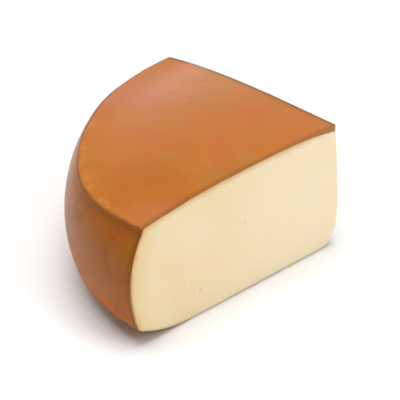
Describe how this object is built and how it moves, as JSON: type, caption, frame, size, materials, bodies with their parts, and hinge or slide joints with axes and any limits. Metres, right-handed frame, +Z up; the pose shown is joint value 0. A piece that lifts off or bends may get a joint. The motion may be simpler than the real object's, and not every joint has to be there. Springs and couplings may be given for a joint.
{
  "type": "cheese wheel quarter",
  "caption": "Quarter cut from a large round pressed cheese, with a thin orange-brown rind, a domed top, a swelling side and smooth pale cut faces",
  "frame": {"origin": "middle of the bounding box's bottom face, on the surface the cheese stands on", "axes": "+X along the widest extent, from one cut's rim corner to the other's; +Y from the tip towards the middle of the rim; +Z up, the wheel's axis"},
  "size_m": [0.287, 0.1916, 0.0949],
  "materials": {
    "paste": "smooth, faintly moist cut paste, pale cream yellow",
    "rind": "thin semi-gloss orange-brown rind"
  },
  "bodies": {
    "root": {"fontina": "paste"}
  },
  "joints": []
}
